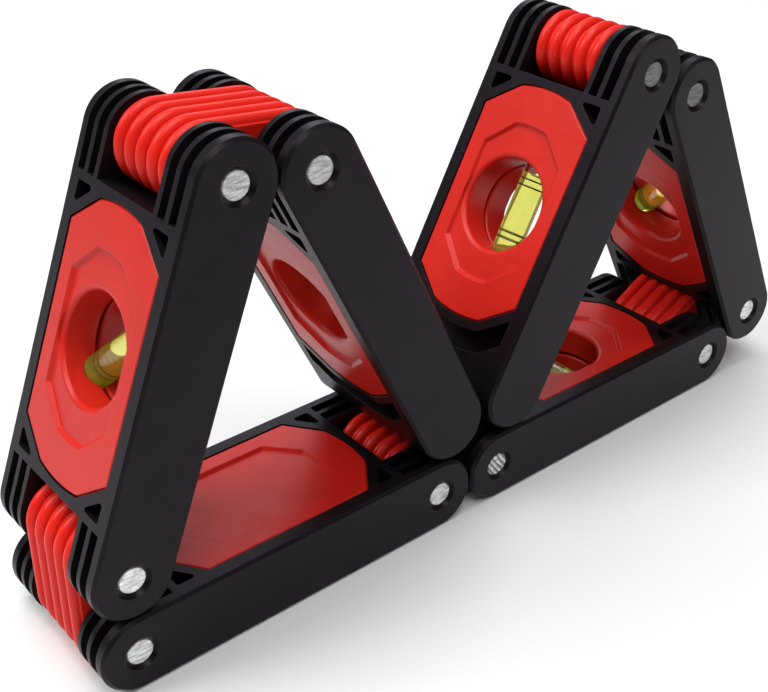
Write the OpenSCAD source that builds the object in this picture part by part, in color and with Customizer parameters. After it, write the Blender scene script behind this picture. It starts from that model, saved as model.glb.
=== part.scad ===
// Folding spirit level: six framed segments chained by five ribbed double-pivot links.
// The level stands folded in two leaning loops, as it is put down on a table.
// Lengths are in millimetres, X runs along the level, Y across it and Z is up.
// The origin is on the table, under the middle of the folded level.

/* [Segments] */
// Distance from a pivot pin to the other pin, or to the centre of a free end
pin_spacing = 96.3; // [94:0.1:110]
// Height between the two measuring faces, also the diameter of the rounded ends
frame_h = 21.6; // [20:0.1:24]
// Width over the two side plates
frame_w = 50; // [49.6:0.1:56]
// Gap between the rounded ends of two neighbouring segments
segment_gap = 0.7; // [0.6:0.05:2]
// Chamfer along the outer edges of the side plates
edge_bevel = 0.85; // [0.3:0.05:1.5]
// Thickness of the frame beside its window
side_wall = 4.6; // [4.4:0.1:5.2]
// Thickness of the bar between the window and the ears, at mid-width
crossbar = 2.2; // [1.6:0.1:3]
// Thickness of the ledge at mid-height that the two panel halves close on
ledge_t = 1.2; // [0.8:0.1:2]
// Width of that ledge
ledge_w = 1.5; // [1:0.1:1.7]

/* [Ears] */
// Thickness of the outer side plates
ear_plate = 3.2; // [2.6:0.1:3.4]
// Width of the slots between the plates of an ear
ear_slot = 3; // [2.4:0.1:3.2]
// Thickness of the inner plates of an ear
ear_fin = 1.6; // [1.2:0.1:1.8]
// Number of inner plates in each ear
ear_fins = 2; // [1:1:2]
// Wall between the window and the pockets
pocket_wall = 2.6; // [2:0.1:3]
// Depth of the pockets in the corners and the free ends
pocket_depth = 8; // [4:0.5:9.5]
// Radius of the corners of the pockets
pocket_round = 0.8; // [0.4:0.1:1]
// Width of the pocket in a free end
end_pocket = 6.2; // [4:0.1:8]

/* [Pins and links] */
// Diameter of the pivot pins
pin_d = 7.6; // [5:0.1:8]
// Depth of the pin ends below the side plates
pin_recess = 0.9; // [0.4:0.05:1.1]
// Chamfer on the pin ends
pin_bevel = 0.4; // [0.2:0.05:0.6]
// Radial clearance of a pin in its segment
pin_fit = 0.02; // [0.01:0.01:0.05]
// Radial clearance of a link on its pins
link_fit = 0.05; // [0.03:0.01:0.1]
// Diameter of the countersunk mouth around a pin end
mouth_d = 9.5; // [8.8:0.1:10]
// Depth of that mouth
mouth_depth = 1.3; // [0.8:0.05:1.6]
// Distance that the rounded link ends stay below the segment ends
link_inset = 0.4; // [0.3:0.05:1]
// Clearance of a link end to the bar behind it
link_clear = 1; // [0.6:0.1:1.6]
// Side clearance of a link between its ears
link_side = 0.3; // [0.3:0.05:0.6]
// Number of ribs around a link
rib_count = 5; // [3:1:7]
// Height of the ribs
rib_h = 1.9; // [1:0.1:2.4]
// Width of the grooves between the ribs
rib_groove = 1.5; // [0.8:0.1:2]

/* [Panels] */
// Clearance of a panel in the window
panel_fit = 0.12; // [0.05:0.01:0.2]
// Depth of the panel faces below the measuring faces
panel_inset = 0.15; // [0.05:0.05:0.4]
// Chamfer along the edge of a panel face
panel_bevel = 0.5; // [0.3:0.1:1]
// Step of the panel edge at the foot of that chamfer
bevel_step = 0.05; // [0.02:0.01:0.1]
// Thickness of a panel face around its recess
panel_face = 2.6; // [2.2:0.1:3.4]
// Thickness of a panel skirt
panel_skirt = 1.8; // [1.2:0.1:2]
// Half the width of the bowed window ends
end_half = 9.6; // [8:0.1:11]
// Rise of the bow of the window ends
end_bow = 1.2; // [0.8:0.1:1.6]
// Length of the window corners along the segment
corner_run = 7.95; // [7:0.05:9]
// Border between the window side and the recess
border_side = 5.4; // [5:0.1:5.8]
// Border between the window end and the recess
border_end = 11.2; // [10:0.1:12]
// Half the width of the recess ends
recess_end_half = 6; // [5:0.1:7.5]
// Rise of the bow of the recess ends
recess_bow = 0.6; // [0.4:0.1:1]
// Depth of the recess
recess_depth = 1; // [0.6:0.1:1.4]
// Width of the sloping recess wall
recess_slope = 0.8; // [0.4:0.1:1.2]

/* [Vials] */
// Diameter of the sight hole
hole_d = 27.2; // [24:0.1:27.6]
// Rounding of the sight hole at the recess floor
hole_round = 1.3; // [0.8:0.1:1.6]
// Gap between the collars of the two panel halves, seen as a dark line in the sight hole
seam_gap = 1; // [0.6:0.1:1.4]
// Chamfer of the collars along that gap
seam_bevel = 0.4; // [0.2:0.1:0.6]
// Thickness of the collar around the sight hole
collar_t = 1.6; // [1.2:0.1:2]
// Outer diameter of a vial
vial_d = 8.4; // [7:0.1:9]
// Distance of the vial ends from the sides of the window
vial_end = 2.4; // [2:0.1:3]
// Wall thickness of a vial
vial_wall = 1.2; // [0.9:0.1:1.5]
// Length of the plug that closes a vial
plug_len = 2.4; // [1.6:0.1:3]
// Clearance of a vial in its seat, all round
vial_fit = 0.06; // [0.03:0.01:0.12]
// Clearance of plug and liquid inside a vial
fill_fit = 0.03; // [0.02:0.01:0.05]
// Wall of the cradles that carry the vial ends
cradle_wall = 1.4; // [1:0.1:1.6]
// Distance of the liquid level from the middle of a leaning vial
liquid_level = 11; // [8:0.5:13]
// Diameter of the bubble in a level vial
bubble_d = 3.8; // [3:0.1:4.4]
// Length of the bubble in a level vial
bubble_len = 9; // [7:0.5:12]

/* [Folded pose] */
// Slope of the link between the first loop's lower and leaning segment
link_bc_angle = 88.3; // [87:0.1:89]
// Slope of the link at the top of the first loop
link_ab_angle = -6.6; // [-8:0.1:-5]
// Slope of the link between the second loop's lower and leaning segment
link_de_angle = 25.9; // [25:0.1:27]
// Slope of the link at the top of the second loop
link_ef_angle = 152.4; // [151:0.1:154]
// Overhang of the first free end past the pin that it leans on
a_end_x = 4.1; // [3.6:0.1:4.2]
// Offset of the second free end from the pin that it leans on
f_end_x = 6.2; // [6.1:0.1:6.8]
// Gap under the two leaning free ends
rest_gap = 0.4; // [0.3:0.05:0.8]

/* [Hidden] */
$fn = 96;

// Overrun of a cut past the face that it opens
cut = 1;
// Overlap of two shapes that are joined
join = 0.2;

// Colours of the mouldings, the pins and the vials
black = [0.12, 0.12, 0.13];
red = [0.86, 0.21, 0.17];
steel = [0.68, 0.68, 0.67];
clear = [0.93, 0.95, 0.90, 0.45];
yellow = [0.86, 0.87, 0.36];

// Main derived sizes
end_r = frame_h / 2;
half_w = frame_w / 2;
link_pitch = frame_h + segment_gap;
link_r = end_r - link_inset;
ear_depth = link_r + link_clear;
gap_half = half_w - ear_plate - ear_fins * (ear_slot + ear_fin);
link_half = gap_half - link_side;
pin_r = pin_d / 2;
hole_r = hole_d / 2;
vial_r = vial_d / 2;
bore_r = vial_r - vial_wall;
fill_r = bore_r - fill_fit;
seg_mid = pin_spacing / 2;

// Window and recess outlines: half length, half width, half end, corner run, bow
win_l = seg_mid - ear_depth - crossbar;
win_w = half_w - side_wall;
window = [win_l, win_w, end_half, corner_run, end_bow];
recess = [win_l - border_end, win_w - border_side, recess_end_half, corner_run, recess_bow];

// Heights in a panel half, from the middle of the segment to its face
face_z = end_r - panel_inset;
floor_z = face_z - recess_depth;
under_z = face_z - panel_face;

// Vials reach across the window, so their length follows its width
vial_len = 2 * (win_w - vial_end);
// Hollow meniscus of a leaning vial: its radius as a share of the liquid's, its dip as a share of that
meniscus_r = 1.25 * fill_r;
meniscus_dip = 0.2 * meniscus_r;
// Height of the bubble of a level vial below the top of the liquid
bubble_sink = bubble_d / 3;
// Steps of the curve of a rib and of the rim of a sight hole
rib_steps = 8;
rim_steps = 6;

// Unit vector at an angle in the side view
function dir(a) = [cos(a), sin(a)];

// Pin positions in the side view, the two lower segments lying on the table
c_left = [0, end_r];
c_right = c_left + [pin_spacing, 0];
d_left = c_right + [link_pitch, 0];
d_right = d_left + [pin_spacing, 0];
// First loop: the leaning segments close on the free end above the pin at c_right
b_low = c_left + link_pitch * dir(link_bc_angle);
a_end = c_right + [a_end_x, frame_h + rest_gap];
a_span = a_end - b_low - link_pitch * dir(link_ab_angle);
a_half = acos(norm(a_span) / (2 * pin_spacing));
b_angle = atan2(a_span.y, a_span.x) + a_half;
a_angle = atan2(a_span.y, a_span.x) - a_half;
b_high = b_low + pin_spacing * dir(b_angle);
a_high = b_high + link_pitch * dir(link_ab_angle);
// Second loop: the same on the free end above the pin at d_left
e_low = d_right + link_pitch * dir(link_de_angle);
f_end = d_left + [f_end_x, frame_h + rest_gap];
f_span = f_end - e_low - link_pitch * dir(link_ef_angle);
f_half = acos(norm(f_span) / (2 * pin_spacing));
e_angle = atan2(f_span.y, f_span.x) - f_half;
f_angle = atan2(f_span.y, f_span.x) + f_half;
e_high = e_low + pin_spacing * dir(e_angle);
f_high = e_high + link_pitch * dir(link_ef_angle);
// Middle of the folded level along X
mid_x = (c_left.x + max(d_right.x, e_low.x)) / 2;

// Puts a shape drawn from a pin along +X at that pin, turned to its slope
module at_pin(pin, angle) {
    translate([pin.x - mid_x, 0, pin.y]) rotate([0, -angle, 0]) children();
}
module at_a() { at_pin(a_high, a_angle) children(); }
module at_b() { at_pin(b_low, b_angle) children(); }
module at_c() { at_pin(c_left, 0) children(); }
module at_d() { at_pin(d_left, 0) children(); }
module at_e() { at_pin(e_low, e_angle) children(); }
module at_f() { at_pin(f_high, f_angle) children(); }

// Cylinder along Y from y0 to y1
module y_rod(r, y0, y1) {
    translate([0, y0, 0]) rotate([-90, 0, 0]) cylinder(h = y1 - y0, r = r);
}

// Plate from y0 to y1 that runs from a rounded end to x1
module ear(y0, y1, x1) {
    y_rod(end_r, y0, y1);
    translate([0, y0, -end_r]) cube([x1, y1 - y0, frame_h]);
}

// Bar along a line at an angle in plan, with sides that lean from half width w0 to w1
module leaning_bar(angle, length, h, w0, w1) {
    rotate([0, 0, angle]) rotate([90, 0, 0])
        linear_extrude(length, center = true)
            polygon([[-w0, 0], [w0, 0], [w1, h], [-w1, h]]);
}

// Plate with bowed ends and cut corners; its edge lies c0 inside the outline o at
// the bottom and c1 inside it at the top
module plate(o, h, c0, c1) {
    length = 4 * o[0];
    corner = [o[0] - o[4] - o[3], o[1]];
    slant = [o[1] - o[2], o[3]] / norm([o[1] - o[2], o[3]]);
    reach = slant * corner;
    tilt = atan2(slant.y, slant.x);
    bow_r = (o[2] * o[2] + o[4] * o[4]) / (2 * o[4]);
    intersection() {
        leaning_bar(90, length, h, o[1] - c0, o[1] - c1);
        leaning_bar(tilt, length, h, reach - c0, reach - c1);
        leaning_bar(-tilt, length, h, reach - c0, reach - c1);
        translate([o[0] - bow_r, 0, 0]) cylinder(h = h, r1 = bow_r - c0, r2 = bow_r - c1, $fn = 180);
        translate([bow_r - o[0], 0, 0]) cylinder(h = h, r1 = bow_r - c0, r2 = bow_r - c1, $fn = 180);
    }
}

// Points of a corner at b, between a and c, rounded with radius r in n steps
function rounded(a, b, c, r, n = 5) =
    let (u = (a - b) / norm(a - b), v = (c - b) / norm(c - b))
    let (half = acos(u * v) / 2, m = (u + v) / norm(u + v))
    let (o = b + m * r / sin(half), from = -(v - u * (u * v)) / sin(2 * half))
    let (to = -(u - v * (u * v)) / sin(2 * half), sweep = 180 - 2 * half)
    [for (i = [0:n]) o + r * (from * sin(sweep * (1 - i / n)) + to * sin(sweep * i / n)) / sin(sweep)];

// Outline of a corner pocket, measured from the middle of the segment
module pocket_outline() {
    slant = [win_w - end_half, corner_run] / norm([win_w - end_half, corner_run]);
    reach = slant * [win_l - end_bow - corner_run, win_w] + pocket_wall;
    x1 = win_l;
    y1 = win_w;
    a = [x1, y1];
    b = [(reach - slant.y * y1) / slant.x, y1];
    c = [x1, (reach - slant.x * x1) / slant.y];
    polygon(concat(rounded(c, a, b, pocket_round), rounded(a, b, c, pocket_round),
        rounded(b, c, a, pocket_round)));
}

// Corner pockets of both faces at one end of the window
module corner_pockets() {
    for (my = [0, 1], mz = [0, 1])
        mirror([0, my, 0]) mirror([0, 0, mz])
            translate([0, 0, end_r - pocket_depth]) linear_extrude(pocket_depth + cut) pocket_outline();
}

// Outer side plate with rounded ends and a chamfer around its outer face
module side_plate() {
    flat = ear_plate - edge_bevel;
    y0 = half_w - ear_plate;
    for (x = [0, pin_spacing])
        translate([x, 0, 0]) {
            y_rod(end_r, y0, y0 + flat);
            translate([0, y0 + flat, 0]) rotate([-90, 0, 0])
                cylinder(h = edge_bevel, r1 = end_r, r2 = end_r - edge_bevel);
        }
    rotate([90, 0, 90]) linear_extrude(pin_spacing)
        polygon([[y0, -end_r], [y0 + flat, -end_r], [half_w, -end_r + edge_bevel],
            [half_w, end_r - edge_bevel], [y0 + flat, end_r], [y0, end_r]]);
}

// Bore of a pin through both side plates, with countersunk mouths
module pin_bore() {
    y_rod(pin_r + pin_fit, -half_w - cut, half_w + cut);
    grow = (mouth_d / 2 - pin_r - pin_fit) / mouth_depth;
    for (m = [0, 1])
        mirror([0, m, 0]) translate([0, half_w - mouth_depth, 0]) rotate([-90, 0, 0])
            cylinder(h = mouth_depth + cut, r1 = pin_r + pin_fit, r2 = mouth_d / 2 + grow * cut);
}

// Window for the panel halves, with the ledge between them
module window_cut() {
    translate([0, 0, ledge_t / 2]) plate(window, end_r, 0, 0);
    mirror([0, 0, 1]) translate([0, 0, ledge_t / 2]) plate(window, end_r, 0, 0);
    translate([0, 0, -ledge_t]) plate(window, 2 * ledge_t, ledge_w, ledge_w);
}

// Pocket of one face in a free end: a band that follows the window end
module free_end_pocket() {
    far = pocket_wall + end_pocket;
    translate([0, 0, end_r - pocket_depth])
        intersection() {
            translate([0, -win_w, 0]) cube([pin_spacing, 2 * win_w, pocket_depth + cut]);
            difference() {
                plate(window, pocket_depth + cut, -far, -far);
                translate([0, 0, -cut]) plate(window, pocket_depth + 3 * cut, -pocket_wall, -pocket_wall);
            }
        }
}

// Frame of a segment; a free end has a round bar in place of its ears
module segment_frame(free_end) {
    inner_w = half_w - ear_plate;
    x1 = pin_spacing - (free_end ? 0 : ear_depth);
    difference() {
        union() {
            for (m = [0, 1])
                mirror([0, m, 0]) side_plate();
            translate([ear_depth, -inner_w - join, -end_r])
                cube([x1 - ear_depth, 2 * inner_w + 2 * join, frame_h]);
            for (m = [0, 1], i = [1:ear_fins])
                mirror([0, m, 0]) {
                    y0 = inner_w - i * (ear_slot + ear_fin);
                    ear(y0, y0 + ear_fin, ear_depth + join);
                    if (!free_end)
                        translate([pin_spacing, 0, 0]) rotate([0, 180, 0])
                            ear(y0, y0 + ear_fin, ear_depth + join);
                }
            if (free_end)
                translate([pin_spacing, 0, 0]) y_rod(end_r, -inner_w - join, inner_w + join);
        }
        translate([seg_mid, 0, 0]) {
            window_cut();
            mirror([1, 0, 0]) corner_pockets();
            if (free_end)
                for (m = [0, 1])
                    mirror([0, 0, m]) free_end_pocket();
            else
                corner_pockets();
        }
        pin_bore();
        if (!free_end)
            translate([pin_spacing, 0, 0]) pin_bore();
    }
}

// Sight hole of a panel half: seam chamfer, straight throat, rounded rim
module sight_hole() {
    seam_z = seam_gap / 2;
    rim_z = floor_z - hole_round;
    rim_r = hole_r + hole_round;
    rotate_extrude($fn = 120)
        polygon(concat(
            [[0, -cut], [hole_r + seam_bevel, -cut],
                [hole_r + seam_bevel, seam_z], [hole_r, seam_z + seam_bevel]],
            [for (i = [0:rim_steps]) let (a = 90 * i / rim_steps)
                [rim_r - hole_round * cos(a), rim_z + hole_round * sin(a)]],
            [[rim_r, face_z + cut], [0, face_z + cut]]));
}

// Seat of a vial along X, between the two panel halves
module vial_seat() {
    rotate([0, 90, 0])
        cylinder(h = vial_len + 2 * vial_fit, r = vial_r + vial_fit, center = true);
}

// Cradles that carry the two ends of a vial along X
module cradles() {
    half = vial_r + vial_fit + cradle_wall;
    for (m = [0, 1])
        mirror([m, 0, 0]) translate([hole_r + hole_round, -half, 0])
            cube([vial_len / 2 + vial_fit + cradle_wall - hole_r - hole_round, 2 * half, under_z + join]);
}

// Panel half on +Z: a shell with a recessed face, and a sight hole where it holds a vial
module panel_half(sight, vial_angle = 0) {
    seat_z = ledge_t / 2;
    bevel_z = face_z - panel_bevel;
    difference() {
        union() {
            difference() {
                union() {
                    translate([0, 0, seat_z]) plate(window, bevel_z - seat_z, panel_fit, panel_fit);
                    translate([0, 0, bevel_z - join])
                        plate(window, panel_bevel + join, panel_fit + bevel_step, panel_fit + panel_bevel);
                }
                plate(window, under_z, panel_fit + panel_skirt, panel_fit + panel_skirt);
            }
            if (sight) {
                translate([0, 0, seam_gap / 2])
                    cylinder(h = under_z + join - seam_gap / 2, r = hole_r + hole_round + collar_t);
                rotate([0, 0, vial_angle]) cradles();
            }
        }
        translate([0, 0, floor_z])
            plate(recess, 2 * recess_depth, recess_slope, -recess_slope);
        if (sight) {
            sight_hole();
            rotate([0, 0, vial_angle]) vial_seat();
        }
    }
}

// Panel half at its place in a segment, on +Z or on -Z
module panel(up, sight, vial_angle = 0) {
    translate([seg_mid, 0, 0]) mirror([0, 0, up ? 0 : 1]) panel_half(sight, vial_angle);
}

// Double-pivot link along +X: ribs run round both rounded ends and along the flats
module ribbed_link() {
    pitch = 2 * link_half / rib_count;
    base_r = link_r - rib_h;
    ridge_half = (pitch - rib_groove) / 2;
    // One rib is half an ellipse, from the groove on one side to the groove on the other
    rib = [for (i = [0:rib_steps]) let (a = 180 * i / rib_steps)
        [base_r + rib_h * sin(a), -ridge_half * cos(a)]];
    edge = [for (i = [0:rib_count - 1], q = rib) [q.x, q.y - link_half + (i + 0.5) * pitch]];
    outline = concat([[0, -link_half], [base_r, -link_half]], edge,
        [[base_r, link_half], [0, link_half]]);
    difference() {
        union() {
            for (x = [0, link_pitch])
                translate([x, 0, 0]) rotate([-90, 0, 0]) rotate_extrude() polygon(outline);
            for (m = [0, 1])
                mirror([0, 0, m]) rotate([90, 0, 90]) linear_extrude(link_pitch)
                    polygon([for (q = outline) [q.y, q.x]]);
        }
        for (x = [0, link_pitch])
            translate([x, 0, 0]) y_rod(pin_r + link_fit, -half_w, half_w);
    }
}

// Pivot pin with chamfered ends, x along the segment that holds it
module pivot_pin(x) {
    reach = half_w - pin_recess;
    translate([x, 0, 0]) rotate([-90, 0, 0]) rotate_extrude()
        polygon([[0, -reach], [pin_r - pin_bevel, -reach], [pin_r, -reach + pin_bevel],
            [pin_r, reach - pin_bevel], [pin_r - pin_bevel, reach], [0, reach]]);
}

// Places a vial along X in the middle of a segment
module vial_place(vial_angle) {
    translate([seg_mid, 0, 0]) rotate([0, 0, vial_angle]) children();
}

// Vial tube, closed at +X and open for its plug at -X
module vial_tube() {
    rotate([0, 90, 0]) difference() {
        cylinder(h = vial_len, r = vial_r, center = true);
        translate([0, 0, -vial_len / 2 - cut]) cylinder(h = vial_len - vial_wall + cut, r = bore_r);
    }
}

// Plug in the open end of a vial
module vial_plug() {
    translate([-vial_len / 2, 0, 0]) rotate([0, 90, 0]) cylinder(h = plug_len, r = fill_r);
}

// Liquid of a leaning vial, below the hollow meniscus under the bubble at +X
module leaning_liquid() {
    x0 = plug_len - vial_len / 2;
    difference() {
        translate([x0, 0, 0]) rotate([0, 90, 0]) cylinder(h = liquid_level - x0, r = fill_r);
        translate([liquid_level + meniscus_r - meniscus_dip, 0, 0]) sphere(meniscus_r);
    }
}

// Liquid of a level vial, with the bubble at the top of its middle
module level_liquid() {
    x0 = plug_len - vial_len / 2;
    x1 = vial_len / 2 - vial_wall;
    straight = bubble_len - bubble_d;
    difference() {
        translate([x0, 0, 0]) rotate([0, 90, 0]) cylinder(h = x1 - x0, r = fill_r);
        translate([-straight / 2, 0, fill_r - bubble_sink]) {
            rotate([0, 90, 0]) cylinder(h = straight, d = bubble_d);
            for (x = [0, straight])
                translate([x, 0, 0]) sphere(d = bubble_d);
        }
    }
}

// Directions of the vials in plan: along the segment, slanting at 45 degrees, across it.
// A leaning vial has its upper end at +X of its own direction.
along = 180;
slant = -45;
across = 90;

module frame_a() { color(black) at_a() segment_frame(true); }
module frame_b() { color(black) at_b() segment_frame(false); }
module frame_c() { color(black) at_c() segment_frame(false); }
module frame_d() { color(black) at_d() segment_frame(false); }
module frame_e() { color(black) at_e() segment_frame(false); }
module frame_f() { color(black) at_f() segment_frame(true); }

module panel_a_outer() { color(red) at_a() panel(true, true, along); }
module panel_a_inner() { color(red) at_a() panel(false, true, along); }
module panel_b_outer() { color(red) at_b() panel(true, true, slant); }
module panel_b_inner() { color(red) at_b() panel(false, true, slant); }
module panel_c_outer() { color(red) at_c() panel(false, false); }
module panel_c_inner() { color(red) at_c() panel(true, false); }
module panel_d_outer() { color(red) at_d() panel(false, true, across); }
module panel_d_inner() { color(red) at_d() panel(true, true, across); }
module panel_e_outer() { color(red) at_e() panel(false, true, slant); }
module panel_e_inner() { color(red) at_e() panel(true, true, slant); }
module panel_f_outer() { color(red) at_f() panel(false, true, along); }
module panel_f_inner() { color(red) at_f() panel(true, true, along); }

module link_ab() { color(red) at_pin(b_high, link_ab_angle) ribbed_link(); }
module link_bc() { color(red) at_pin(c_left, link_bc_angle) ribbed_link(); }
module link_cd() { color(red) at_pin(c_right, 0) ribbed_link(); }
module link_de() { color(red) at_pin(d_right, link_de_angle) ribbed_link(); }
module link_ef() { color(red) at_pin(e_high, link_ef_angle) ribbed_link(); }

module pin_a() { color(steel) at_a() pivot_pin(0); }
module pin_b_high() { color(steel) at_b() pivot_pin(pin_spacing); }
module pin_b_low() { color(steel) at_b() pivot_pin(0); }
module pin_c_left() { color(steel) at_c() pivot_pin(0); }
module pin_c_right() { color(steel) at_c() pivot_pin(pin_spacing); }
module pin_d_left() { color(steel) at_d() pivot_pin(0); }
module pin_d_right() { color(steel) at_d() pivot_pin(pin_spacing); }
module pin_e_low() { color(steel) at_e() pivot_pin(0); }
module pin_e_high() { color(steel) at_e() pivot_pin(pin_spacing); }
module pin_f() { color(steel) at_f() pivot_pin(0); }

module vial_a() { color(clear) at_a() vial_place(along) vial_tube(); }
module vial_b() { color(clear) at_b() vial_place(slant) vial_tube(); }
module vial_d() { color(clear) at_d() vial_place(across) vial_tube(); }
module vial_e() { color(clear) at_e() vial_place(slant) vial_tube(); }
module vial_f() { color(clear) at_f() vial_place(along) vial_tube(); }

module plug_a() { color(clear) at_a() vial_place(along) vial_plug(); }
module plug_b() { color(clear) at_b() vial_place(slant) vial_plug(); }
module plug_d() { color(clear) at_d() vial_place(across) vial_plug(); }
module plug_e() { color(clear) at_e() vial_place(slant) vial_plug(); }
module plug_f() { color(clear) at_f() vial_place(along) vial_plug(); }

module liquid_a() { color(yellow) at_a() vial_place(along) leaning_liquid(); }
module liquid_b() { color(yellow) at_b() vial_place(slant) leaning_liquid(); }
module liquid_d() { color(yellow) at_d() vial_place(across) level_liquid(); }
module liquid_e() { color(yellow) at_e() vial_place(slant) leaning_liquid(); }
module liquid_f() { color(yellow) at_f() vial_place(along) leaning_liquid(); }

frame_a();
frame_b();
frame_c();
frame_d();
frame_e();
frame_f();
panel_a_outer();
panel_a_inner();
panel_b_outer();
panel_b_inner();
panel_c_outer();
panel_c_inner();
panel_d_outer();
panel_d_inner();
panel_e_outer();
panel_e_inner();
panel_f_outer();
panel_f_inner();
link_ab();
link_bc();
link_cd();
link_de();
link_ef();
pin_a();
pin_b_high();
pin_b_low();
pin_c_left();
pin_c_right();
pin_d_left();
pin_d_right();
pin_e_low();
pin_e_high();
pin_f();
vial_a();
vial_b();
vial_d();
vial_e();
vial_f();
plug_a();
plug_b();
plug_d();
plug_e();
plug_f();
liquid_a();
liquid_b();
liquid_d();
liquid_e();
liquid_f();
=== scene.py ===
import math

import bmesh
import bpy
import numpy as np
from mathutils import Matrix, Vector


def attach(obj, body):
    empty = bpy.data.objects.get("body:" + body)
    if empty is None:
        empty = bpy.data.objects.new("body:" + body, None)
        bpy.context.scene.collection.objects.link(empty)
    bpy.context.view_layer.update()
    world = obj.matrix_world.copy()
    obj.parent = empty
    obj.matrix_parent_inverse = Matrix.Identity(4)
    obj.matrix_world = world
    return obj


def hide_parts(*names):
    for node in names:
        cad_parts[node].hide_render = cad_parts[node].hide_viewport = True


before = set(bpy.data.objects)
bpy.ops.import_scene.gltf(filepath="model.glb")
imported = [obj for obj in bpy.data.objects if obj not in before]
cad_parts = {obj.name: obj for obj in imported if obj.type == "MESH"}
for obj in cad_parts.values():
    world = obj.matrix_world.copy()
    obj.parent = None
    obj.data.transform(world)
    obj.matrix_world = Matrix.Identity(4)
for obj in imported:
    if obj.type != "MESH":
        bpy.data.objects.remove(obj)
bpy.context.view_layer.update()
scene = bpy.context.scene
MM = 0.001

# Colours, linear; pairs are the darkest and the lightest of a surface
BLACK_BODY = (0.0044, 0.0037, 0.0046), (0.0078, 0.0066, 0.0081)
# Lightest tint of the frame edges, a painted highlight
BLACK_PAINTED_HIGHLIGHT = (0.075, 0.075, 0.077)
BLACK_SHEEN = (1.0, 0.82, 1.0, 1)
PANEL_RED = (0.50, 0.012, 0.007), (0.56, 0.016, 0.009)
LINK_RED = (0.64, 0.014, 0.008), (0.70, 0.018, 0.010)
# Paler red of the edges, a painted highlight
RED_PAINTED_HIGHLIGHT = (0.67, 0.055, 0.04)
SAW_MARK = (0.17, 0.17, 0.17)
PIN_RIM = (0.06, 0.06, 0.06)
ACRYLIC = (0.97, 0.98, 0.95, 1)
LIQUID_BODY = (0.88, 0.87, 0.18), (0.93, 0.91, 0.24)
# Colour of the liquid's faint glow, painted light
LIQUID_PAINTED_GLOW = (0.50, 0.64, 0.03, 1)
INK_BODY = (0.004, 0.004, 0.004), (0.013, 0.012, 0.010)
FLOOR_BODY = (0.69, 0.69, 0.69), (0.71, 0.71, 0.71)
SKY_TINT = (0.97, 0.985, 1, 1)
BACK_TINT = (0.84, 0.92, 1.0)

# Steel: its dark streaks, light streaks and patches, and the slight blue of all three
STEEL_GREYS = (0.44, 0.86, 0.30)
STEEL_BLUE = 1.01

# Brightness of the pin ends
BRIGHT = 1.14
MIDDLING = 0.76
DULL = 0.27

# Refraction of the vials and their liquid
ACRYLIC_IOR = 1.49
LIQUID_IOR = 1.36

# How far the edges look rounded, in millimetres
BLACK_EDGE = 0.15
RED_EDGE = 0.5
PIN_EDGE = 0.35


# Node helpers


def node(tree, kind, **settings):
    """A new node; a setting goes to the input of that name, or else to the property."""
    made = tree.nodes.new(kind)
    for key, value in settings.items():
        if key in made.inputs:
            made.inputs[key].default_value = value
        else:
            setattr(made, key, value)
    return made


def material(name):
    """A new material, its node tree and its shader."""
    made = bpy.data.materials.new(name)
    made.use_nodes = True
    tree = made.node_tree
    tree.nodes.clear()
    shader = node(tree, "ShaderNodeBsdfPrincipled")
    out = node(tree, "ShaderNodeOutputMaterial")
    tree.links.new(shader.outputs[0], out.inputs[0])
    return made, tree, shader


def place(tree, stretch=(1, 1, 1), turn=(0, 0, 0)):
    """The place on the object, squeezed and turned for streaks."""
    coord = node(tree, "ShaderNodeTexCoord")
    mapping = node(tree, "ShaderNodeMapping", Scale=stretch, Rotation=turn)
    tree.links.new(coord.outputs["Object"], mapping.inputs["Vector"])
    return mapping.outputs["Vector"]


def noise(tree, vector, scale, detail=3.0, rough=0.55):
    made = node(tree, "ShaderNodeTexNoise", Scale=scale, Detail=detail, Roughness=rough)
    tree.links.new(vector, made.inputs["Vector"])
    return made.outputs["Fac"]


def spread(tree, value, source, target=(0, 1)):
    """The value, moved from the source range to the target range."""
    made = node(tree, "ShaderNodeMapRange")
    for key, end in zip(("From Min", "From Max", "To Min", "To Max"), (*source, *target)):
        made.inputs[key].default_value = end
    tree.links.new(value, made.inputs["Value"])
    return made.outputs["Result"]


def maths(tree, kind, first, second):
    made = node(tree, "ShaderNodeMath", operation=kind)
    tree.links.new(first, made.inputs[0])
    tree.links.new(second, made.inputs[1])
    return made.outputs[0]


# Sockets of the Mix node when it mixes colours
MIX_SHARE = 0
MIX_FIRST = 6
MIX_SECOND = 7
MIX_RESULT = 2


def blend_colour(tree, share, first, second):
    """From the first colour, fixed or made by other nodes, to the second by the share."""
    made = node(tree, "ShaderNodeMix", data_type="RGBA")
    tree.links.new(share, made.inputs[MIX_SHARE])
    if isinstance(first, tuple):
        made.inputs[MIX_FIRST].default_value = (*first, 1)
    else:
        tree.links.new(first, made.inputs[MIX_FIRST])
    made.inputs[MIX_SECOND].default_value = (*second, 1)
    return made.outputs[MIX_RESULT]


def soft_edges(tree, radius):
    """The normal rounded over the edges, and how near a point is to an edge."""
    bevel = node(tree, "ShaderNodeBevel", samples=6, Radius=radius)
    true = node(tree, "ShaderNodeNewGeometry")
    dot = node(tree, "ShaderNodeVectorMath", operation="DOT_PRODUCT")
    tree.links.new(bevel.outputs[0], dot.inputs[0])
    tree.links.new(true.outputs["Normal"], dot.inputs[1])
    return bevel.outputs[0], spread(tree, dot.outputs["Value"], (0.995, 0.8))


def bump(tree, height, distance, strength, normal=None):
    made = node(tree, "ShaderNodeBump", Strength=strength, Distance=distance)
    tree.links.new(height, made.inputs["Height"])
    if normal is not None:
        tree.links.new(normal, made.inputs["Normal"])
    return made.outputs[0]


# Materials


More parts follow.
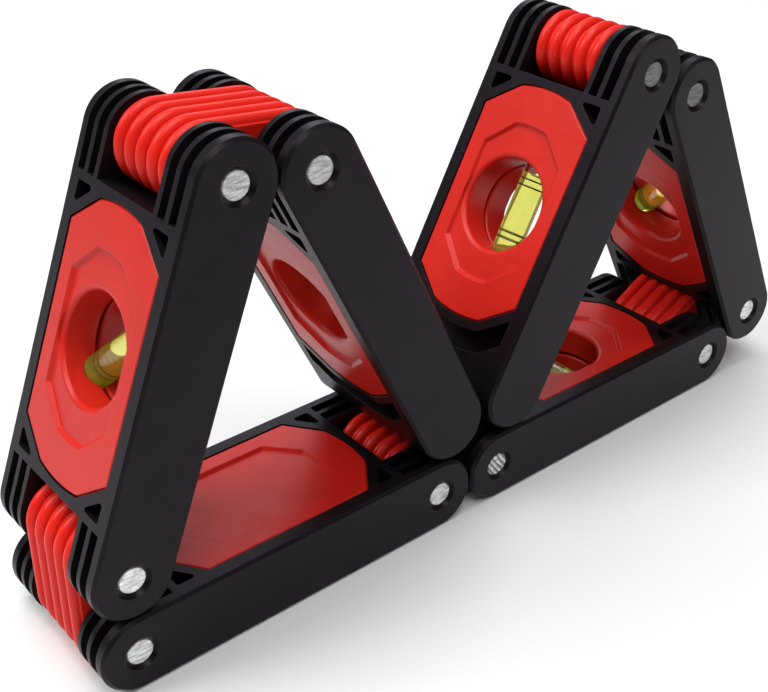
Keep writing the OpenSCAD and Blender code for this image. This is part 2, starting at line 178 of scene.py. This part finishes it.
def black_plastic():
    """Satin black of the frames, with a painted highlight along the edges, broken up by rub streaks."""
    made, tree, shader = material("black_plastic_satin")
    here = place(tree)
    normal, edge = soft_edges(tree, BLACK_EDGE * MM)
    cloud = noise(tree, here, scale=95, detail=4)
    grain = noise(tree, here, scale=1100, detail=2)
    streaks = place(tree, stretch=(1, 1, 7), turn=(0.3, 0.5, 0.2))
    rub = noise(tree, streaks, scale=260, detail=5, rough=0.65)
    body = blend_colour(tree, spread(tree, cloud, (0.3, 0.72)), *BLACK_BODY)
    # The edges are painted lighter: a painted highlight, broken up by the rub streaks
    painted_highlight = maths(tree, "MULTIPLY", edge, spread(tree, rub, (0.4, 0.68), (0.25, 1.0)))
    tint = blend_colour(tree, painted_highlight, body, BLACK_PAINTED_HIGHLIGHT)
    satin = spread(tree, rub, (0.3, 0.75), (0.30, 0.42))
    grainy = bump(tree, grain, 0.03 * MM, 0.14, normal)
    tree.links.new(tint, shader.inputs["Base Color"])
    tree.links.new(satin, shader.inputs["Roughness"])
    tree.links.new(grainy, shader.inputs["Normal"])
    shader.inputs["Specular IOR Level"].default_value = 0.16
    shader.inputs["Specular Tint"].default_value = BLACK_SHEEN
    return made


def red_plastic(name, colours, gloss):
    """Satin red of the panels and links, painted a little paler along the edges as a painted highlight."""
    made, tree, shader = material(name)
    here = place(tree)
    normal, edge = soft_edges(tree, RED_EDGE * MM)
    cloud = noise(tree, here, scale=70, detail=4)
    grain = noise(tree, here, scale=900, detail=2)
    streaks = place(tree, stretch=(1, 1, 4), turn=(0.4, 0.1, 0.8))
    flow = noise(tree, streaks, scale=150, detail=4)
    body = blend_colour(tree, spread(tree, cloud, (0.3, 0.7)), *colours)
    # The edges are painted paler: a painted highlight, broken up by the flow streaks
    rim = maths(tree, "MULTIPLY", edge, spread(tree, flow, (0.4, 0.7), (0.0, 0.35)))
    tint = blend_colour(tree, rim, body, RED_PAINTED_HIGHLIGHT)
    satin = spread(tree, flow, (0.3, 0.7), (0.29, 0.38))
    grainy = bump(tree, grain, 0.02 * MM, 0.10, normal)
    tree.links.new(tint, shader.inputs["Base Color"])
    tree.links.new(satin, shader.inputs["Roughness"])
    tree.links.new(grainy, shader.inputs["Normal"])
    shader.inputs["Specular IOR Level"].default_value = gloss
    return made


def pin_steel(name, tone, saw_share=0.0):
    """Pin ends, streaked and ragged at the rim.

    The tone is their brightness, and saw_share is how bold the saw marks are.
    """
    made, tree, shader = material(name)
    here = place(tree)
    long_streaks = place(tree, stretch=(1, 1, 6), turn=(0, 0.7, 0))
    short_streaks = place(tree, stretch=(1, 1, 9), turn=(0, 0.55, 0))
    cut = noise(tree, long_streaks, scale=300, detail=4, rough=0.6)
    fine = noise(tree, short_streaks, scale=1500, detail=3)
    mottle = noise(tree, here, scale=1300, detail=4, rough=0.7)
    speck = noise(tree, here, scale=2300, detail=3, rough=0.6)
    saw = node(tree, "ShaderNodeTexWave", Scale=215, Distortion=2.2, Detail=2.0)
    tree.links.new(place(tree, turn=(0, 0.62, 0)), saw.inputs["Vector"])
    normal, edge = soft_edges(tree, PIN_EDGE * MM)
    deep, pale, patch = [(tone * grey, tone * grey, tone * STEEL_BLUE * grey) for grey in STEEL_GREYS]
    body = blend_colour(tree, spread(tree, cut, (0.36, 0.6)), deep, pale)
    patches = blend_colour(tree, spread(tree, mottle, (0.34, 0.5), (0.45, 0)), body, patch)
    grooves = spread(tree, saw.outputs["Fac"], (0.25, 0.6), (saw_share, 0))
    sawn = blend_colour(tree, grooves, patches, SAW_MARK)
    ragged = maths(tree, "MULTIPLY", edge, spread(tree, speck, (0.42, 0.56), (0, 1.6)))
    rim = blend_colour(tree, ragged, sawn, PIN_RIM)
    brushed = spread(tree, fine, (0.3, 0.7), (0.30, 0.5))
    scratched = bump(tree, maths(tree, "ADD", cut, fine), 0.06 * MM, 0.5, normal)
    tree.links.new(rim, shader.inputs["Base Color"])
    tree.links.new(brushed, shader.inputs["Roughness"])
    tree.links.new(scratched, shader.inputs["Normal"])
    shader.inputs["Metallic"].default_value = 1.0
    return made


def clear_vial():
    made, tree, shader = material("vial_acrylic_clear")
    flow = noise(tree, place(tree), scale=300, detail=2)
    tree.links.new(spread(tree, flow, (0.35, 0.7), (0.0, 0.03)), shader.inputs["Roughness"])
    tree.links.new(bump(tree, flow, 0.01 * MM, 0.1), shader.inputs["Normal"])
    shader.inputs["Base Color"].default_value = ACRYLIC
    shader.inputs["Transmission Weight"].default_value = 1.0
    shader.inputs["IOR"].default_value = ACRYLIC_IOR
    return made


def vial_liquid():
    """Yellow liquid, with a faint painted glow that brightens it in shade as well."""
    made, tree, shader = material("vial_liquid_yellow")
    swirl = noise(tree, place(tree), scale=160, detail=2)
    body = blend_colour(tree, spread(tree, swirl, (0.3, 0.7)), *LIQUID_BODY)
    tree.links.new(body, shader.inputs["Base Color"])
    tree.links.new(spread(tree, swirl, (0.3, 0.7), (0.0, 0.02)), shader.inputs["Roughness"])
    shader.inputs["Transmission Weight"].default_value = 0.9
    shader.inputs["IOR"].default_value = LIQUID_IOR
    # A faint painted glow: emission that lightens the liquid where it is shaded
    shader.inputs["Emission Color"].default_value = LIQUID_PAINTED_GLOW
    shader.inputs["Emission Strength"].default_value = 0.05
    return made


def ring_ink():
    made, tree, shader = material("ring_ink_black")
    speck = noise(tree, place(tree), scale=2400, detail=3)
    body = blend_colour(tree, spread(tree, speck, (0.3, 0.7)), *INK_BODY)
    tree.links.new(body, shader.inputs["Base Color"])
    tree.links.new(spread(tree, speck, (0.3, 0.7), (0.45, 0.65)), shader.inputs["Roughness"])
    return made


def pale_floor():
    made, tree, shader = material("floor_pale")
    cloud = noise(tree, place(tree), scale=3, detail=3)
    tree.links.new(blend_colour(tree, cloud, *FLOOR_BODY), shader.inputs["Base Color"])
    tree.links.new(spread(tree, cloud, (0.3, 0.7), (0.7, 0.8)), shader.inputs["Roughness"])
    shader.inputs["Specular IOR Level"].default_value = 0.2
    return made


# The first word of a node's name tells its finish
clear = clear_vial()
FINISH = {
    "frame": black_plastic(),
    "panel": red_plastic("red_plastic_panel", PANEL_RED, gloss=0.27),
    "link": red_plastic("red_plastic_link", LINK_RED, gloss=0.20),
    "pin": pin_steel("pin_steel_bright", BRIGHT),
    "vial": clear,
    "plug": clear,
    "liquid": vial_liquid(),
}

# The upper pin ends are duller than the lower ones, and one has bold saw marks
mottled_pin = pin_steel("pin_steel_mottled", MIDDLING)
dull_pin = pin_steel("pin_steel_dull", DULL)
PIN_FINISH = {
    "pin_a": mottled_pin,
    "pin_b_high": mottled_pin,
    "pin_d_left": pin_steel("pin_steel_sawn", BRIGHT, saw_share=0.9),
    "pin_e_high": dull_pin,
    "pin_f": dull_pin,
}

for name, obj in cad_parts.items():
    finish = PIN_FINISH.get(name, FINISH[name.split("_")[0]])
    for slot in obj.material_slots:
        slot.material = finish


# Rings printed round the vials, and the liquid in them

# Places along the vial, width, height above the vial and depth in it, in millimetres
RING_AT = (-9.1, -7.1, 7.1, 9.1)
RING_WIDTH = 0.36
RING_PROUD = 0.012
RING_SUNK = 0.03
RING_STEPS = 96

# Share of a ring's width that is flat on top
RING_FLAT = 0.8

# Growth of the liquid in millimetres, a little more than its clearance in the bore
WET = 0.045

# Points beyond this share of the liquid's radius lie on its wall
WALL_FROM = 0.995

INK = ring_ink()


def vial_line(name):
    """Middle, direction and radius of a vial, from its solid."""
    co = np.array([v.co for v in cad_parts[name].data.vertices], float)
    middle = (co.min(0) + co.max(0)) / 2
    direction = np.linalg.svd(co - co.mean(0), full_matrices=False)[2][0]
    off = co - middle
    radius = np.linalg.norm(off - np.outer(off @ direction, direction), axis=1).max()
    return Vector(middle), Vector(direction), radius


def vial_rings(name, body):
    """The printed rings of one vial, as one piece."""
    middle, direction, radius = vial_line(name)
    across = direction.orthogonal().normalized()
    beside = direction.cross(across)
    high = radius + RING_PROUD * MM
    low = radius - RING_SUNK * MM
    half = RING_WIDTH * MM / 2
    flat = RING_FLAT * half
    section = ((-half, low), (-flat, high), (flat, high), (half, low))
    sides = len(section)
    mesh = bmesh.new()
    for at in RING_AT:
        loops = []
        for step in range(RING_STEPS):
            turn = 2 * math.pi * step / RING_STEPS
            out = across * math.cos(turn) + beside * math.sin(turn)
            loops.append([mesh.verts.new(middle + direction * (at * MM + s) + out * r) for s, r in section])
        for step in range(RING_STEPS):
            here = loops[step]
            there = loops[(step + 1) % RING_STEPS]
            for k in range(sides):
                after = (k + 1) % sides
                mesh.faces.new((here[k], here[after], there[after], there[k]))
    bmesh.ops.recalc_face_normals(mesh, faces=mesh.faces)
    data = bpy.data.meshes.new("rings_" + name)
    mesh.to_mesh(data)
    mesh.free()
    data.shade_smooth()
    data.materials.append(INK)
    obj = bpy.data.objects.new("rings_" + name, data)
    scene.collection.objects.link(obj)
    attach(obj, body)


def wet_liquid(letter):
    """The solid of the liquid, grown sideways past the bore, so that no film of air shows."""
    middle, direction, _ = vial_line("vial_" + letter)
    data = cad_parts["liquid_" + letter].data.copy()
    co = np.empty(3 * len(data.vertices), np.float32)
    data.vertices.foreach_get("co", co)
    off = co.reshape(-1, 3) - np.array(middle)
    out = off - np.outer(off @ np.array(direction), np.array(direction))
    reach = np.linalg.norm(out, axis=1)
    wall = reach > WALL_FROM * reach.max()
    off[wall] += out[wall] / reach[wall, None] * WET * MM
    data.vertices.foreach_set("co", (off + np.array(middle)).astype(np.float32).ravel())
    data.name = "fill_" + letter
    obj = bpy.data.objects.new("fill_" + letter, data)
    scene.collection.objects.link(obj)
    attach(obj, "segment_" + letter)
    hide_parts("liquid_" + letter)


for letter in "abdef":
    vial_rings("vial_" + letter, "segment_" + letter)
    wet_liquid(letter)


# Floor, a hair below the part so that their faces don't coincide

FLOOR_HALF = 12.0
FLOOR_DROP = 0.00008

corners = [(x * FLOOR_HALF, y * FLOOR_HALF, -FLOOR_DROP) for x, y in ((-1, -1), (1, -1), (1, 1), (-1, 1))]
floor_data = bpy.data.meshes.new("floor")
floor_data.from_pydata(corners, [], [(0, 1, 2, 3)])
floor_data.materials.append(pale_floor())
floor = bpy.data.objects.new("floor", floor_data)
scene.collection.objects.link(floor)


# Light: a sky that is darker towards the horizon, and four softboxes

SKY_AIM = (0.0, 0.12, 0.99)
SKY_RANGE = (0.15, 1.0)
SKY_STRENGTH = (0.063, 0.50)

world = bpy.data.worlds.new("studio")
world.use_nodes = True
scene.world = world
sky = world.node_tree
backdrop = sky.nodes["Background"]
backdrop.inputs["Color"].default_value = SKY_TINT
aim = node(sky, "ShaderNodeVectorMath", operation="DOT_PRODUCT")
aim.inputs[1].default_value = SKY_AIM
sky.links.new(node(sky, "ShaderNodeTexCoord").outputs["Generated"], aim.inputs[0])
sky.links.new(spread(sky, aim.outputs["Value"], SKY_RANGE, SKY_STRENGTH), backdrop.inputs["Strength"])


def softbox(name, at, target, side, power, colour=(1, 1, 1)):
    """A square lamp, turned to its target."""
    data = bpy.data.lights.new(name, "AREA")
    data.shape = "RECTANGLE"
    data.size = side
    data.size_y = side
    data.energy = power
    data.color = colour
    obj = bpy.data.objects.new(name, data)
    obj.location = at
    obj.rotation_euler = (Vector(target) - Vector(at)).to_track_quat("-Z", "Y").to_euler()
    scene.collection.objects.link(obj)


softbox("key", at=(-1.76, 0.99, 2.13), target=(0, 0, 0.06), side=1.3, power=45.0)
softbox("top", at=(-0.11, 0.22, 3.19), target=(0, 0, 0), side=1.8, power=68.0)
softbox("front", at=(-0.55, -1.36, 2.60), target=(0, 0, 0.03), side=1.3, power=28.0)
softbox("back", at=(1.10, 1.58, 1.22), target=(0, 0, 0.05), side=1.1, power=6.9, colour=BACK_TINT)


# Camera, fitted to the photograph's edges and pin centres

CAMERA_AT = (-0.2084, -0.2317, 0.2276)
CAMERA_RIGHT = (0.7751, -0.6319, -0.0090)
CAMERA_UP = (0.3313, 0.3941, 0.8573)
CAMERA_BACK = (-0.5381, -0.6674, 0.5147)

camera_data = bpy.data.cameras.new("camera")
camera_data.sensor_width = 36
camera_data.lens = 58.02
camera_data.clip_start = 0.01
camera = bpy.data.objects.new("camera", camera_data)
turned = Matrix((CAMERA_RIGHT, CAMERA_UP, CAMERA_BACK)).transposed().to_4x4()
camera.matrix_world = Matrix.Translation(CAMERA_AT) @ turned
scene.collection.objects.link(camera)
scene.camera = camera
scene.view_settings.view_transform = "Standard"
